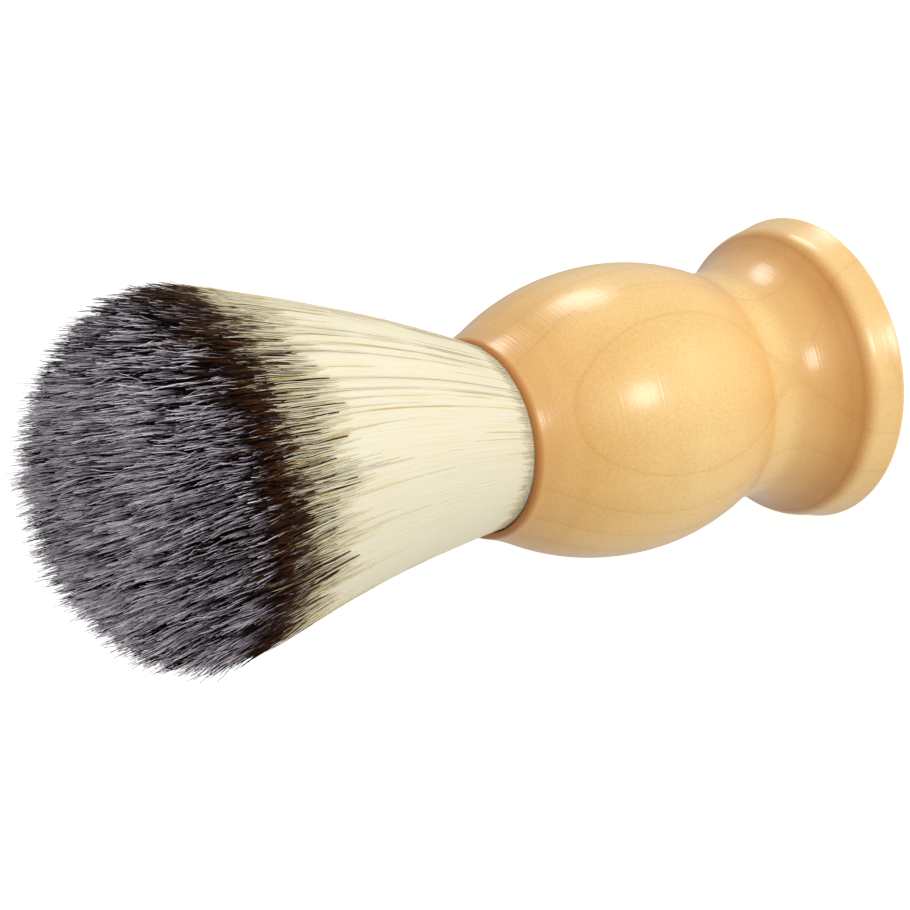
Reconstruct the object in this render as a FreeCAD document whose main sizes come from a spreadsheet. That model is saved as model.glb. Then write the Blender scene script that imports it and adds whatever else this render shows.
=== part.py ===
import FreeCAD, Part
import math
import os

import Sketcher

# Shaving brush: a turned wooden handle, and a knot of bristles glued into its socket.
# The brush stands on its flat foot. The origin is the centre of the foot, +Z runs up the
# handle to the bristle tips, and the knot leans a little towards +X. Sizes are in mm.

SIZES = [
    # the turned handle, from the foot up
    ("base_diameter", 35.3, "across the foot, before its lowest edge is rounded"),
    ("base_edge_round", 0.25, "rounding of the foot's lowest edge"),
    ("flare_radius", 8.0, "hollow curve of the foot's wall"),
    ("foot_height", 4.1, "from the base to the foot's upper edge"),
    ("foot_edge_diameter", 32.7, "across the foot's upper edge"),
    ("foot_edge_round", 0.7, "rounding of the foot's upper edge"),
    ("neck_rise", 8.9, "from the foot's upper edge to the narrowest place"),
    ("neck_diameter", 26.4, "across the narrowest place"),
    ("crease_rise", 3.4, "from the narrowest place to the crease under the bulb"),
    ("bulb_rise", 13.0, "from the crease to the widest place of the bulb"),
    ("bulb_diameter", 33.1, "across the bulb"),
    ("bulb_fall", 14.6, "from the widest place to where the curve turns hollow"),
    ("throat_share", 0.362, "how far out it is there, from the mouth's radius to the bulb's"),
    ("mouth_sweep", 5.4, "height of the hollow curve up to the mouth"),
    ("lip_wall", 0.7, "wood between the socket and the outside, at the mouth"),
    ("lip_round", 0.55, "rounding of the mouth's outer edge"),
    # the socket and what is glued into it
    ("socket_diameter", 21.2, "bore for the knot"),
    ("socket_depth", 15.0, "from the mouth to the socket's floor"),
    ("glue_wall", 0.3, "glue between the plug and the bore"),
    ("glue_floor", 0.6, "glue under the plug"),
    ("glue_rise", 8.0, "how far the glue is pressed up the side of the plug"),
    ("plug_chamfer", 0.8, "bevel of the plug's lower edge"),
    ("root_slice", 0.8, "top of the plug, which the bristles are rooted in"),
    ("tie_width", 1.6, "width of the thread wound round the bristles"),
    ("tie_thickness", 0.4, "thickness of that thread"),
    ("tie_below_mouth", 1.2, "from the mouth down to the thread"),
    ("tie_clearance", 0.05, "between the thread and what it lies beside"),
    # the knot of bristles
    ("flare_length", 41.0, "from the mouth to the widest place of the knot"),
    ("belly_diameter", 43.0, "across the knot at its widest place"),
    ("dome_height", 16.1, "from the widest place to the highest tip"),
    ("knot_lean", 2.8, "how far the knot leans to one side"),
    ("lean_length", 30.0, "height above the mouth at which the lean is reached"),
    ("strand_rings", 11, "rings of bristle strands round the middle one"),
    ("strand_fill", 0.82, "share of its place that a strand fills"),
    ("tip_share", 0.5, "a strand's width at its tip, as a share of its full width"),
    ("tip_scatter", 1.6, "how far a strand may end below the dome"),
]

doc = FreeCAD.newDocument("ShavingBrush")
sheet = doc.addObject("Spreadsheet::Sheet", "Sizes")
for row, (name, value, meaning) in enumerate(SIZES, start=1):
    sheet.set(f"A{row}", name)
    sheet.set(f"B{row}", str(value))
    sheet.set(f"C{row}", meaning)
    sheet.setAlias(f"B{row}", name)
doc.recompute()

# Heights and widths that follow from the sizes, written as the sheet's own expressions.
FOOT_TOP = "Sizes.foot_height"
NECK = f"{FOOT_TOP} + Sizes.neck_rise"
CREASE = f"{NECK} + Sizes.crease_rise"
BULB = f"{CREASE} + Sizes.bulb_rise"
THROAT = f"{BULB} + Sizes.bulb_fall"
MOUTH = f"{THROAT} + Sizes.mouth_sweep"
SOCKET_FLOOR = f"{MOUTH} - Sizes.socket_depth"
PLUG_FLOOR = f"{SOCKET_FLOOR} + Sizes.glue_floor"
TIE_TOP = f"{MOUTH} - Sizes.tie_below_mouth"
TIE_FLOOR = f"{TIE_TOP} - Sizes.tie_width"
SLICE_TOP = f"{TIE_FLOOR} - Sizes.tie_clearance"
SLICE_FLOOR = f"{SLICE_TOP} - Sizes.root_slice"

MOUTH_RADIUS = "Sizes.socket_diameter / 2 + Sizes.lip_wall"
THROAT_RADIUS = f"({MOUTH_RADIUS}) * (1 - Sizes.throat_share) + Sizes.bulb_diameter / 2 * Sizes.throat_share"
PLUG_RADIUS = "Sizes.socket_diameter / 2 - Sizes.glue_wall"
TIE_OUTER = "Sizes.socket_diameter / 2 - Sizes.tie_clearance"
TIE_INNER = f"{TIE_OUTER} - Sizes.tie_thickness"
KNOT_ROOT_RADIUS = f"{TIE_INNER} - Sizes.tie_clearance"


def size(expression):
    """The number that an expression on the sheet gives."""
    return float(sheet.evalExpression(expression))


def new_body(label):
    """A PartDesign body with its own label, standing on the origin."""
    body = doc.addObject("PartDesign::Body", label)
    body.Label = label
    body.Placement = FreeCAD.Placement()
    return body


def new_sketch(body, name, role="XZ_Plane"):
    """A sketch on one of the body's own origin planes."""
    plane = next(feature for feature in body.Origin.OriginFeatures if feature.Role == role)
    sketch = body.newObject("Sketcher::SketchObject", name)
    sketch.AttachmentSupport = (plane, [""])
    sketch.MapMode = "FlatFace"
    return sketch


def flat(point):
    return FreeCAD.Vector(point[0], point[1], 0)


def add_line(sketch, start, end):
    return sketch.addGeometry(Part.LineSegment(flat(start), flat(end)))


def add_arc(sketch, centre, start, end):
    """An arc that runs anticlockwise from start to end."""
    radius = math.dist(centre, start)
    first = math.atan2(start[1] - centre[1], start[0] - centre[0])
    last = math.atan2(end[1] - centre[1], end[0] - centre[0])
    circle = Part.Circle(flat(centre), FreeCAD.Vector(0, 0, 1), radius)
    return sketch.addGeometry(Part.ArcOfCircle(circle, first, last))


def bind(sketch, kind, *items):
    """A dimension whose value is the last item, an expression on the sheet."""
    *where, expression = items
    index = sketch.addConstraint(Sketcher.Constraint(kind, *where, size(expression)))
    sketch.setExpression(f"Constraints[{index}]", expression)


def place(sketch, curve, end, across=None, up=None):
    """Fix a point's distance from the axis and its height, by expressions."""
    if across:
        bind(sketch, "DistanceX", -1, 1, curve, end, across)
    if up:
        bind(sketch, "DistanceY", -1, 1, curve, end, up)


def join(sketch, curve, end, next_curve, next_end):
    sketch.addConstraint(Sketcher.Constraint("Coincident", curve, end, next_curve, next_end))


def revolve(body, name, sketch):
    """Turn a sketch once round the body's own vertical axis."""
    turned = body.newObject("PartDesign::Revolution", name)
    turned.Profile = sketch
    turned.ReferenceAxis = (sketch, ["V_Axis"])
    turned.Angle = 360
    return turned


def ring_edges(shape, height, radius):
    """Names of the round edges at a height and a radius."""
    near = 1e-4
    names = []
    for number, edge in enumerate(shape.Edges, start=1):
        curve = edge.Curve
        if not isinstance(curve, Part.Circle):
            continue
        if abs(curve.Center.z - height) < near and abs(curve.Radius - radius) < near:
            names.append(f"Edge{number}")
    return names


def round_edge(body, name, base, height, radius, expression):
    """Fillet the ring edge at a height and a radius."""
    fillet = body.newObject("PartDesign::Fillet", name)
    fillet.Base = (base, ring_edges(base.Shape, height, radius))
    fillet.setExpression("Radius", expression)
    doc.recompute()
    return fillet


# ---------------------------------------------------------------- handle
# Turned from one piece of pale hardwood: a flared foot with a soft upper edge, a hollow
# neck, a crease, a round bulb that sweeps in to a thin lip, and a bored socket.

def handle_outline(body):
    """Half of the handle's section, closed along the axis."""
    sketch = new_sketch(body, "handle_outline")
    base = (size("Sizes.base_diameter / 2"), 0)
    foot = (size("Sizes.foot_edge_diameter / 2"), size(FOOT_TOP))
    neck = (size("Sizes.neck_diameter / 2"), size(NECK))
    widest = (size("Sizes.bulb_diameter / 2"), size(BULB))
    throat = (size(THROAT_RADIUS), size(THROAT))
    mouth = (size(MOUTH_RADIUS), size(MOUTH))

    # each centre lies where the arc's constraints, added below, put it
    span = math.dist(base, foot)
    flare_radius = size("Sizes.flare_radius")
    reach = math.sqrt(flare_radius**2 - (span / 2)**2)
    flare_centre = ((base[0] + foot[0]) / 2 + reach * (foot[1] - base[1]) / span,
                    (base[1] + foot[1]) / 2 + reach * (base[0] - foot[0]) / span)
    cove_radius = level_arc_radius(neck, foot)
    cove_centre = (neck[0] + cove_radius, neck[1])
    crease_height = size(CREASE)
    crease = (cove_centre[0] - math.sqrt(cove_radius**2 - (crease_height - neck[1])**2), crease_height)
    under_centre = (widest[0] - level_arc_radius(widest, crease), widest[1])
    over_centre = (widest[0] - level_arc_radius(widest, throat), widest[1])
    sweep_centre = tangent_centre(over_centre, throat, mouth)

    floor = add_line(sketch, (0, 0), base)
    flare = add_arc(sketch, flare_centre, foot, base)
    cove = add_arc(sketch, cove_centre, neck, foot)
    rise = add_arc(sketch, cove_centre, crease, neck)
    under = add_arc(sketch, under_centre, crease, widest)
    over = add_arc(sketch, over_centre, widest, throat)
    sweep = add_arc(sketch, sweep_centre, mouth, throat)
    top = add_line(sketch, mouth, (0, mouth[1]))
    axis = add_line(sketch, (0, mouth[1]), (0, 0))

    join(sketch, floor, 1, -1, 1)
    join(sketch, floor, 2, flare, 2)
    join(sketch, flare, 1, cove, 2)
    join(sketch, cove, 1, rise, 2)
    join(sketch, rise, 1, under, 1)
    join(sketch, under, 2, over, 1)
    sketch.addConstraint(Sketcher.Constraint("Tangent", over, 2, sweep, 2))
    join(sketch, sweep, 1, top, 1)
    join(sketch, top, 2, axis, 1)
    join(sketch, axis, 2, floor, 1)
    sketch.addConstraint(Sketcher.Constraint("Horizontal", floor))
    sketch.addConstraint(Sketcher.Constraint("Horizontal", top))
    sketch.addConstraint(Sketcher.Constraint("Vertical", axis))

    place(sketch, floor, 2, across="Sizes.base_diameter / 2")
    place(sketch, cove, 2, across="Sizes.foot_edge_diameter / 2", up=FOOT_TOP)
    bind(sketch, "Radius", flare, "Sizes.flare_radius")
    place(sketch, cove, 1, across="Sizes.neck_diameter / 2", up=NECK)
    place(sketch, rise, 1, up=CREASE)
    place(sketch, over, 1, across="Sizes.bulb_diameter / 2", up=BULB)
    place(sketch, over, 2, across=THROAT_RADIUS, up=THROAT)
    place(sketch, sweep, 1, across=MOUTH_RADIUS, up=MOUTH)

    # the cove is level at the neck, and the bulb is level at its widest place
    sketch.addConstraint(Sketcher.Constraint("Horizontal", cove, 3, cove, 1))
    join(sketch, cove, 3, rise, 3)
    sketch.addConstraint(Sketcher.Constraint("Horizontal", under, 3, under, 2))
    sketch.addConstraint(Sketcher.Constraint("Horizontal", over, 3, over, 1))
    return sketch


def level_arc_radius(level, other):
    """Radius of an arc that stands upright at one point and passes through another."""
    aside = abs(other[0] - level[0])
    away = other[1] - level[1]
    return (aside**2 + away**2) / (2 * aside)


def tangent_centre(centre, start, end):
    """Centre of the hollow arc that leaves a round one at start and reaches end."""
    normal = (start[0] - centre[0], start[1] - centre[1])
    length = math.hypot(*normal)
    normal = (normal[0] / length, normal[1] / length)
    chord = (end[0] - start[0], end[1] - start[1])
    across = chord[0] * normal[0] + chord[1] * normal[1]
    radius = (chord[0]**2 + chord[1]**2) / (2 * across)
    return (start[0] + radius * normal[0], start[1] + radius * normal[1])


def make_handle():
    body = new_body("handle")
    turned = revolve(body, "turned_form", handle_outline(body))
    doc.recompute()

    # the socket is bored down from the mouth, on the handle's axis
    bore = new_sketch(body, "socket_circle", "XY_Plane")
    bore.setExpression("AttachmentOffset.Base.z", MOUTH)
    bore.addGeometry(Part.Circle(FreeCAD.Vector(), FreeCAD.Vector(0, 0, 1), size("Sizes.socket_diameter / 2")))
    join(bore, 0, 3, -1, 1)
    bind(bore, "Diameter", 0, "Sizes.socket_diameter")
    solid_volume = turned.Shape.Volume
    socket = body.newObject("PartDesign::Pocket", "socket")
    socket.Profile = bore
    socket.setExpression("Length", "Sizes.socket_depth")
    doc.recompute()
    bored = math.pi * size("Sizes.socket_diameter / 2")**2 * size("Sizes.socket_depth")
    if abs(solid_volume - socket.Shape.Volume - bored) > bored / 1000:
        raise RuntimeError("the socket is not bored to its full depth")

    lip = round_edge(body, "lip_rounding", socket, size(MOUTH), size(MOUTH_RADIUS), "Sizes.lip_round")
    edge = round_edge(body, "foot_edge_rounding", lip, size(FOOT_TOP),
                      size("Sizes.foot_edge_diameter / 2"), "Sizes.foot_edge_round")
    round_edge(body, "base_rounding", edge, 0, size("Sizes.base_diameter / 2"), "Sizes.base_edge_round")
    return body


# ---------------------------------------------------------------- adhesive bed
# Cured epoxy: a thin cup between the socket and the plug, which fills the floor and is
# pressed part of the way up the side.

def make_adhesive_bed():
    body = new_body("adhesive_bed")
    sketch = new_sketch(body, "glue_section")
    outer = size("Sizes.socket_diameter / 2")
    inner = size(PLUG_RADIUS)
    low = size(SOCKET_FLOOR)
    step = size(PLUG_FLOOR)
    high = step + size("Sizes.glue_rise")
    corners = [(0, low), (outer, low), (outer, high), (inner, high), (inner, step), (0, step)]
    lines = [add_line(sketch, corner, corners[(number + 1) % len(corners)])
             for number, corner in enumerate(corners)]
    for number, line in enumerate(lines):
        join(sketch, line, 2, lines[(number + 1) % len(lines)], 1)
        direction = "Horizontal" if number % 2 == 0 else "Vertical"
        sketch.addConstraint(Sketcher.Constraint(direction, line))
    sketch.addConstraint(Sketcher.Constraint("PointOnObject", lines[0], 1, -2))
    place(sketch, lines[0], 2, across="Sizes.socket_diameter / 2", up=SOCKET_FLOOR)
    place(sketch, lines[3], 1, across=PLUG_RADIUS, up=f"{PLUG_FLOOR} + Sizes.glue_rise")
    place(sketch, lines[4], 1, up=PLUG_FLOOR)
    revolve(body, "glue_cup", sketch)
    return body


# ---------------------------------------------------------------- root plug
# The bristles' roots are set in cast resin, which makes a plain round plug. Its top slice,
# with the roots in it, belongs to the bristles' own solid.

def make_root_plug():
    body = new_body("root_plug")
    sketch = new_sketch(body, "plug_circle", "XY_Plane")
    sketch.setExpression("AttachmentOffset.Base.z", PLUG_FLOOR)
    sketch.addGeometry(Part.Circle(FreeCAD.Vector(), FreeCAD.Vector(0, 0, 1), size(PLUG_RADIUS)))
    join(sketch, 0, 3, -1, 1)
    bind(sketch, "Radius", 0, PLUG_RADIUS)
    plug = body.newObject("PartDesign::Pad", "plug")
    plug.Profile = sketch
    plug.setExpression("Length", f"({SLICE_FLOOR}) - ({PLUG_FLOOR})")
    doc.recompute()
    bevel = body.newObject("PartDesign::Chamfer", "plug_bevel")
    bevel.Base = (plug, ring_edges(plug.Shape, size(PLUG_FLOOR), size(PLUG_RADIUS)))
    bevel.setExpression("Size", "Sizes.plug_chamfer")
    return body


# ---------------------------------------------------------------- binding thread
# Waxed thread wound tight round the bristles just over the plug, a flat band of turns side
# by side. It stays hidden in the socket.

def make_binding_thread():
    body = new_body("binding_thread")
    sketch = new_sketch(body, "thread_section")
    inner = size(TIE_INNER)
    outer = size(TIE_OUTER)
    low = size(TIE_FLOOR)
    high = size(TIE_TOP)
    corners = [(inner, low), (outer, low), (outer, high), (inner, high)]
    lines = [add_line(sketch, corner, corners[(number + 1) % len(corners)])
             for number, corner in enumerate(corners)]
    for number, line in enumerate(lines):
        join(sketch, line, 2, lines[(number + 1) % len(lines)], 1)
        direction = "Horizontal" if number % 2 == 0 else "Vertical"
        sketch.addConstraint(Sketcher.Constraint(direction, line))
    place(sketch, lines[0], 1, across=TIE_INNER, up=TIE_FLOOR)
    place(sketch, lines[2], 1, across=TIE_OUTER, up=TIE_TOP)
    revolve(body, "thread_band", sketch)
    return body


# ---------------------------------------------------------------- bristles
# Fine synthetic filaments, stood here as a few hundred four-sided strands in rings. They
# run straight up past the thread, spread evenly like rays, lean a little to +X, and end on
# a dome. Every strand keeps its own place, so none crosses another.

GOLDEN_TURN = math.pi * (3 - math.sqrt(5))
GOLDEN_SHARE = (math.sqrt(5) - 1) / 2


def spread_radius(height):
    """Radius of the whole knot at a height, before the dome closes it."""
    start = size(TIE_TOP)
    root = size(KNOT_ROOT_RADIUS)
    belly = size("Sizes.belly_diameter / 2")
    widest = size(f"{MOUTH} + Sizes.flare_length")
    return root + (belly - root) * max(0, height - start) / (widest - start)


def flat_face(corners):
    return Part.Face(Part.makePolygon(corners + corners[:1]))


def straight_loft(sections):
    """A solid lofted straight from section to section.

    The sections' sides stay parallel, so every side face is flat.
    """
    faces = [flat_face(sections[0]), flat_face(sections[-1])]
    for low, high in zip(sections, sections[1:]):
        for first in range(len(low)):
            second = (first + 1) % len(low)
            faces.append(flat_face([low[first], low[second], high[second], high[first]]))
    return Part.Solid(Part.Shell(faces))


def make_bristles():
    rings = round(size("Sizes.strand_rings"))
    fill = size("Sizes.strand_fill")
    tip_share = size("Sizes.tip_share")
    scatter = size("Sizes.tip_scatter")
    lean = size("Sizes.knot_lean")
    root_height = size(f"{SLICE_TOP} - Sizes.root_slice / 2")
    spread_height = size(TIE_TOP)
    lean_height = size(f"{MOUTH} + Sizes.lean_length")
    widest = size(f"{MOUTH} + Sizes.flare_length")
    belly = size("Sizes.belly_diameter / 2")
    dome = size("Sizes.dome_height")
    slope = (spread_radius(widest) - spread_radius(spread_height)) / (widest - spread_height)

    def shift(height):
        """How far the knot leans at a height: most of the bend lies low down."""
        left = (lean_height - height) / (lean_height - spread_height)
        return lean * (1 - min(1, max(0, left))**2)

    def tip_height(share):
        """Where a strand at a share of the knot's radius meets the dome."""
        square = 1 / dome**2 + (share * slope / belly)**2
        linear = 2 * share**2 * slope / belly
        constant = share**2 - 1
        return widest + (math.sqrt(linear**2 - 4 * square * constant) - linear) / (2 * square)

    def section(share, angle, height, narrowing=1):
        """A four-sided section of one strand, square to its own ray round the axis."""
        radius = share * spread_radius(height)
        half = narrowing * fill * spread_radius(height) / (2 * rings + 1)
        out = FreeCAD.Vector(math.cos(angle), math.sin(angle), 0)
        along = FreeCAD.Vector(-math.sin(angle), math.cos(angle), 0)
        centre = out * radius + FreeCAD.Vector(shift(height), 0, height)
        return [centre + out * (a * half) + along * (b * half)
                for a, b in ((-1, -1), (1, -1), (1, 1), (-1, 1))]

    strands = []
    for ring in range(rings + 1):
        share = ring / (rings + 0.5)
        in_ring = max(1, 6 * ring)
        for number in range(in_ring):
            angle = 2 * math.pi * number / in_ring + ring * GOLDEN_TURN
            drop = scatter * ((len(strands) * GOLDEN_SHARE) % 1)
            tip = tip_height(share) - drop
            sections = [section(share, angle, root_height),
                        section(share, angle, spread_height),
                        section(share, angle, (spread_height + lean_height) / 2),
                        section(share, angle, lean_height),
                        section(share, angle, tip, tip_share)]
            strands.append(straight_loft(sections))

    slice_floor = size(SLICE_FLOOR)
    backing = Part.makeCylinder(size(PLUG_RADIUS), size("Sizes.root_slice"),
                                FreeCAD.Vector(0, 0, slice_floor))
    fused = backing.fuse(Part.makeCompound(strands))
    print("strands", len(strands), "solids", len(fused.Solids))
    bristles = doc.addObject("Part::Feature", "bristles")
    bristles.Label = "bristles"
    bristles.Shape = fused.Solids[0]
    bristles.Placement = FreeCAD.Placement()
    return bristles


pieces = [make_handle(), make_adhesive_bed(), make_root_plug(), make_binding_thread(), make_bristles()]
doc.recompute()

for item in doc.Objects:
    if "Invalid" in item.State or "Error" in item.State:
        raise RuntimeError(f"{item.Label} did not build: {item.State}")
os.makedirs("parts", exist_ok=True)
for piece in pieces:
    shape = piece.Shape
    if shape.isNull() or not shape.isValid():
        raise RuntimeError(f"{piece.Label} has no sound shape")
    print(piece.Label, "solids", len(shape.Solids), "volume", round(shape.Volume, 1), "mm3", "box", shape.BoundBox)
for piece in pieces:
    piece.Shape.exportStep(f"parts/{piece.Label}.step")
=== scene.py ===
import math

import bpy
from mathutils import Matrix, Vector


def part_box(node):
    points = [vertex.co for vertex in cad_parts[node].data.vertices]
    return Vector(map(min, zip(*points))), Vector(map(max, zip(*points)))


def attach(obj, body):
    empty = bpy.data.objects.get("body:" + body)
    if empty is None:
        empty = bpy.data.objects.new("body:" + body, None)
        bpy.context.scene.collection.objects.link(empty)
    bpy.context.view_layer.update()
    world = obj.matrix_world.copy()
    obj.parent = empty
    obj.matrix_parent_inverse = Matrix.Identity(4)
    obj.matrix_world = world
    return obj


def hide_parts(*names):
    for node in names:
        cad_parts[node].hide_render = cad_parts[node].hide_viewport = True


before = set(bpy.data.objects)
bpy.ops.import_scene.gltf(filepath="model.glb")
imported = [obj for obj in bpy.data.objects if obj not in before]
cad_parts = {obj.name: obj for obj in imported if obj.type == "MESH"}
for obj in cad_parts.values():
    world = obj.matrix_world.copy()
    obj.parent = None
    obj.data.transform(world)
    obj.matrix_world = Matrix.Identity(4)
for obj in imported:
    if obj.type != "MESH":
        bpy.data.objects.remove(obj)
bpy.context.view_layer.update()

MM = 0.001


# ------------------------------------------------------------------ turned handle
# One piece of pale, close-grained hardwood, turned on a lathe: a flared foot, a hollow neck,
# a soft crease, a round bulb and a thin rounded lip round the bored socket. It is
# stained honey-brown and dipped in clear gloss lacquer.

mouth_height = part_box("handle")[1].z
foot_radius = 17.65 * MM
foot_height = 4.1 * MM
foot_edge_radius = 16.9 * MM
flare_radius = 20.0 * MM
neck_height = 13.0 * MM
neck_radius = 13.2 * MM
crease_height = 16.4 * MM
bulb_height = 29.4 * MM
bulb_radius = 16.55 * MM
throat_height = mouth_height - 5.4 * MM
throat_radius = 13.2 * MM
socket_radius = 10.6 * MM
mouth_radius = socket_radius + 0.7 * MM
socket_floor = mouth_height - 15.0 * MM

base_rounding = 0.25 * MM
foot_edge_rounding = 4.0 * MM
crease_rounding = 4.0 * MM
lip_rounding = 0.55 * MM
bore_edge_rounding = 0.12 * MM
turning_segments = 180


def level_arc(level, other, steps):
    """Points of an arc that stands upright at one end and runs on to the other."""
    aside = other.x - level.x
    away = other.y - level.y
    radius = (aside**2 + away**2) / (2 * abs(aside))
    side = math.copysign(1, aside)
    centre = Vector((level.x + side * radius, level.y))
    sweep = math.asin(away / radius)
    turns = [sweep * step / steps for step in range(steps + 1)]
    return [centre + Vector((-side * math.cos(turn), math.sin(turn))) * radius for turn in turns]


def bowed_arc(start, end, bow, steps):
    """Points of a shallow arc between two points, bowed sideways in the middle."""
    along = end - start
    aside = Vector((-along.y, along.x)).normalized() * bow
    return [start + along * (step / steps) + aside * (4 * step / steps * (1 - step / steps))
            for step in range(steps + 1)]


def rounded_corner(before, after, radius, steps=8):
    """Join two runs of points with an arc in place of their shared corner."""
    corner = before[-1]
    ahead = (after[1] - corner).normalized()
    behind = (before[-2] - corner).normalized()
    opening = ahead.angle(behind)
    cut = radius / math.tan(opening / 2)
    before = [point for point in before if (point - corner).length > cut * 1.2]
    after = [point for point in after if (point - corner).length > cut * 1.2]
    centre = corner + (ahead + behind).normalized() * (radius / math.sin(opening / 2))
    first = corner + behind * cut - centre
    last = corner + ahead * cut - centre
    swing = first.angle(last)
    arc = [centre + (first * math.sin(swing * (1 - step / steps)) + last * math.sin(swing * step / steps))
           / math.sin(swing) for step in range(steps + 1)]
    return before + arc + after


def turned_mesh(name, outline, segments):
    """A mesh turned round the vertical axis from an outline that starts and ends on it."""
    vertices = [(0, 0, outline[0].y)]
    for point in outline[1:-1]:
        for segment in range(segments):
            angle = 2 * math.pi * segment / segments
            vertices.append((point.x * math.cos(angle), point.x * math.sin(angle), point.y))
    vertices.append((0, 0, outline[-1].y))
    faces = []
    rings = len(outline) - 2
    for segment in range(segments):
        beside = (segment + 1) % segments
        faces.append((0, 1 + beside, 1 + segment))
        for ring in range(rings - 1):
            low = 1 + ring * segments
            high = low + segments
            faces.append((low + segment, low + beside, high + beside, high + segment))
        last = 1 + (rings - 1) * segments
        faces.append((last + segment, last + beside, len(vertices) - 1))
    mesh = bpy.data.meshes.new(name)
    mesh.from_pydata(vertices, [], faces)
    mesh.shade_smooth()
    piece = bpy.data.objects.new(name, mesh)
    bpy.context.scene.collection.objects.link(piece)
    return piece


def handle_outline():
    """Half of the handle's section, from the middle of the foot round to the socket's floor."""
    base = Vector((foot_radius, 0))
    foot_edge = Vector((foot_edge_radius, foot_height))
    neck = Vector((neck_radius, neck_height))
    bulb = Vector((bulb_radius, bulb_height))
    throat = Vector((throat_radius, throat_height))
    mouth = Vector((mouth_radius, mouth_height))
    bore_mouth = Vector((socket_radius, mouth_height))
    bore_floor = Vector((socket_radius, socket_floor))

    floor = [Vector((0, 0)), Vector((foot_radius / 2, 0)), base]
    flare = bowed_arc(base, foot_edge, (base - foot_edge).length_squared / (8 * flare_radius), 10)
    cove = level_arc(neck, foot_edge, 24)[::-1]
    cove_bend = (foot_edge_radius - neck_radius)**2 + (foot_height - neck_height)**2
    cove_bend /= 2 * (foot_edge_radius - neck_radius)
    crease_up = crease_height - neck_height
    crease = Vector((neck_radius + cove_bend - math.sqrt(cove_bend**2 - crease_up**2), crease_height))
    rise = level_arc(neck, crease, 8)[1:]
    under = level_arc(bulb, crease, 24)[::-1]
    over = level_arc(bulb, throat, 28)[1:]
    slope = (over[-1] - over[-2]).normalized()
    chord = mouth - throat
    off = chord.x * slope.y - chord.y * slope.x
    sweep = bowed_arc(throat, mouth, off / 4, 12)[1:]

    outside = rounded_corner(floor, flare, base_rounding)
    outside = rounded_corner(outside, cove + rise, foot_edge_rounding)
    outside = rounded_corner(outside, under + over + sweep, crease_rounding)
    outside = rounded_corner(outside, [mouth, bore_mouth], lip_rounding)
    outside = rounded_corner(outside, [bore_mouth, bore_floor], bore_edge_rounding)
    return outside + [Vector((0, socket_floor))]


def add_node(tree, kind, settings=None, inputs=None):
    """A new node with its settings, and with values or links for its inputs.

    A single word as settings is the node's operation.
    """
    node = tree.nodes.new(kind)
    if isinstance(settings, str):
        settings = {"operation": settings}
    for name, value in (settings or {}).items():
        setattr(node, name, value)
    for socket, value in (inputs or {}).items():
        if isinstance(value, bpy.types.NodeSocket):
            tree.links.new(value, node.inputs[socket])
        else:
            node.inputs[socket].default_value = value
    return node


def linear_colour(hex_colour):
    """An sRGB hex colour as the linear colour that shaders take."""
    channels = [int(hex_colour[place:place + 2], 16) / 255 for place in (1, 3, 5)]
    return [c / 12.92 if c <= 0.04045 else ((c + 0.055) / 1.055)**2.4 for c in channels] + [1.0]


def set_ramp(ramp, stops):
    """Fill a colour ramp from (position, hex colour) stops."""
    while len(ramp.elements) > 1:
        ramp.elements.remove(ramp.elements[-1])
    for place, (position, hex_colour) in enumerate(stops):
        element = ramp.elements[0] if place == 0 else ramp.elements.new(position)
        element.position = position
        element.color = linear_colour(hex_colour)


def new_material(name, settings):
    """A material with its shader's plain values set, and the tree and shader to build on."""
    material = bpy.data.materials.new(name)
    material.use_nodes = True
    shader = material.node_tree.nodes["Principled BSDF"]
    for socket, value in settings.items():
        shader.inputs[socket].default_value = value
    return material, material.node_tree, shader


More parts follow.
